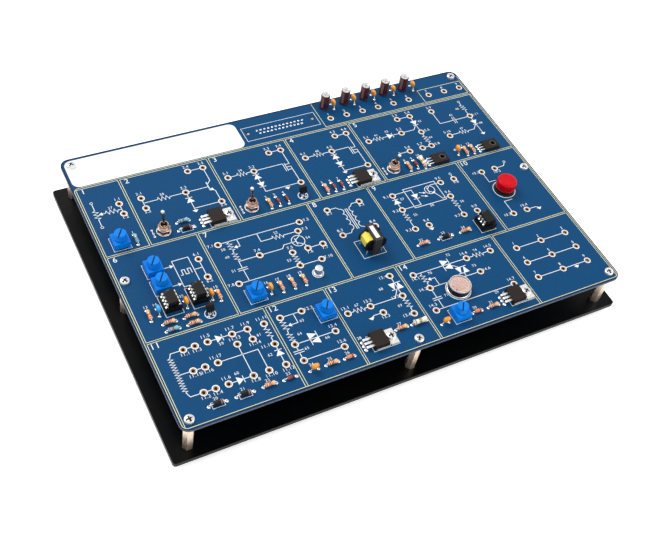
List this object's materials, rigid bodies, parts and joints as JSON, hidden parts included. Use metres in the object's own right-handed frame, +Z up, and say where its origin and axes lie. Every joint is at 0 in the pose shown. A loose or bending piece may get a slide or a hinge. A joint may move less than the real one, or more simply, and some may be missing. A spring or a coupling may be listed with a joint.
{
  "type": "power electronics training module",
  "caption": "Classroom circuit board on pillars over a base plate, with patch sockets, trimmers, toggle switches and a push button.",
  "frame": {"origin": "on the table under the centre of the plates", "axes": "+X to the right along the front edge, +Y towards the rear edge with the port, +Z up"},
  "size_m": [0.3, 0.208, 0.0501],
  "materials": {
    "board_laminate": "satin solder mask",
    "base_laminate": "glossy black sheet",
    "pillar_metal": "nickel plated",
    "screw_steel": "bright plated",
    "foot_rubber": "matt",
    "trimmer_plastic": "satin",
    "switch_plastic": "moulded",
    "switch_metal": "bright plated",
    "tinned_wire": "tinned",
    "red_plastic": "translucent red",
    "sensor_cell": "ceramic cell",
    "sensor_glass": "clear",
    "moulded_epoxy": "moulded epoxy",
    "tab_metal": "tin plated",
    "ferrite": "sintered",
    "yellow_tape": "polyester tape",
    "capacitor_sleeve": "shrink sleeve",
    "capacitor_coating": "dipped",
    "resistor_coating": "lacquered",
    "diode_glass": "glass body"
  },
  "bodies": {
    "module": {"front_board": "board_laminate", "base_plate": "base_laminate", "pillars": "pillar_metal", "board_screws": "screw_steel", "base_screws": "screw_steel", "rubber_feet": "foot_rubber", "trimmer_bodies": "trimmer_plastic", "toggle_bodies": "switch_plastic", "toggle_bushings": "switch_metal", "toggle_nuts": "switch_metal", "toggle_terminals": "tinned_wire", "button_housing": "switch_plastic", "button_terminals": "tinned_wire", "light_sensor_case": "switch_metal", "light_sensor_cell": "sensor_cell", "light_sensor_window": "sensor_glass", "power_packages": "moulded_epoxy", "power_tabs": "tab_metal", "power_leads": "tinned_wire", "power_screws": "screw_steel", "power_nuts": "screw_steel", "medium_packages": "moulded_epoxy", "medium_leads": "tinned_wire", "small_transistors": "moulded_epoxy", "small_transistor_leads": "tinned_wire", "metal_can_transistor": "tab_metal", "chip_sockets": "switch_plastic", "timer_chips": "moulded_epoxy", "isolator_chip": "moulded_epoxy", "chip_pins": "tinned_wire", "transformer_core": "ferrite", "transformer_bobbin": "switch_plastic", "transformer_winding": "yellow_tape", "transformer_pins": "tinned_wire", "electrolytic_cans": "capacitor_sleeve", "ceramic_capacitors": "capacitor_coating", "ceramic_leads": "tinned_wire", "resistor_bodies": "resistor_coating", "large_resistor_bodies": "resistor_coating", "rectifier_diodes": "moulded_epoxy", "zener_diodes": "diode_glass", "trigger_diodes": "diode_glass", "axial_leads": "tinned_wire", "port_shell": "tab_metal", "port_insulator": "switch_plastic", "port_pins": "tinned_wire", "port_brackets": "tab_metal", "port_jack_nuts": "screw_steel"},
    "trimmer_1": {"trimmer_rotor_1": "trimmer_plastic"},
    "trimmer_2": {"trimmer_rotor_2": "trimmer_plastic"},
    "trimmer_3": {"trimmer_rotor_3": "trimmer_plastic"},
    "trimmer_4": {"trimmer_rotor_4": "trimmer_plastic"},
    "trimmer_5": {"trimmer_rotor_5": "trimmer_plastic"},
    "trimmer_6": {"trimmer_rotor_6": "trimmer_plastic"},
    "toggle_1": {"toggle_lever_1": "switch_metal"},
    "toggle_2": {"toggle_lever_2": "switch_metal"},
    "toggle_3": {"toggle_lever_3": "switch_metal"},
    "button": {"button_cap": "red_plastic"}
  },
  "joints": [
    {"name": "trimmer_turn_1", "type": "hinge", "parent": "module", "child": "trimmer_1", "pos_m": [-0.1318, 0.0276, 0.03955], "axis": [0, 0, 1], "range_deg": [-135, 135]},
    {"name": "trimmer_turn_2", "type": "hinge", "parent": "module", "child": "trimmer_2", "pos_m": [-0.1213, 0.0023, 0.03955], "axis": [0, 0, 1], "range_deg": [-135, 135]},
    {"name": "trimmer_turn_3", "type": "hinge", "parent": "module", "child": "trimmer_3", "pos_m": [-0.1213, -0.0105, 0.03955], "axis": [0, 0, 1], "range_deg": [-135, 135]},
    {"name": "trimmer_turn_4", "type": "hinge", "parent": "module", "child": "trimmer_4", "pos_m": [-0.0737, -0.0346, 0.03955], "axis": [0, 0, 1], "range_deg": [-135, 135]},
    {"name": "trimmer_turn_5", "type": "hinge", "parent": "module", "child": "trimmer_5", "pos_m": [-0.0422, -0.0605, 0.03955], "axis": [0, 0, 1], "range_deg": [-135, 135]},
    {"name": "trimmer_turn_6", "type": "hinge", "parent": "module", "child": "trimmer_6", "pos_m": [0.0315, -0.0898, 0.03955], "axis": [0, 0, 1], "range_deg": [-135, 135]},
    {"name": "toggle_swing_1", "type": "hinge", "parent": "module", "child": "toggle_1", "pos_m": [-0.1051, 0.028, 0.0382], "axis": [1, 0, 0], "range_deg": [0, 24]},
    {"name": "toggle_swing_2", "type": "hinge", "parent": "module", "child": "toggle_2", "pos_m": [-0.0483, 0.028, 0.0382], "axis": [1, 0, 0], "range_deg": [0, 24]},
    {"name": "toggle_swing_3", "type": "hinge", "parent": "module", "child": "toggle_3", "pos_m": [0.053, 0.028, 0.0382], "axis": [1, 0, 0], "range_deg": [-24, 0]},
    {"name": "button_press", "type": "slide", "parent": "module", "child": "button", "axis": [0, 0, -1], "range_m": [0, 0.001], "stiffness_N_per_m": 400, "springref_m": -0.0005}
  ]
}
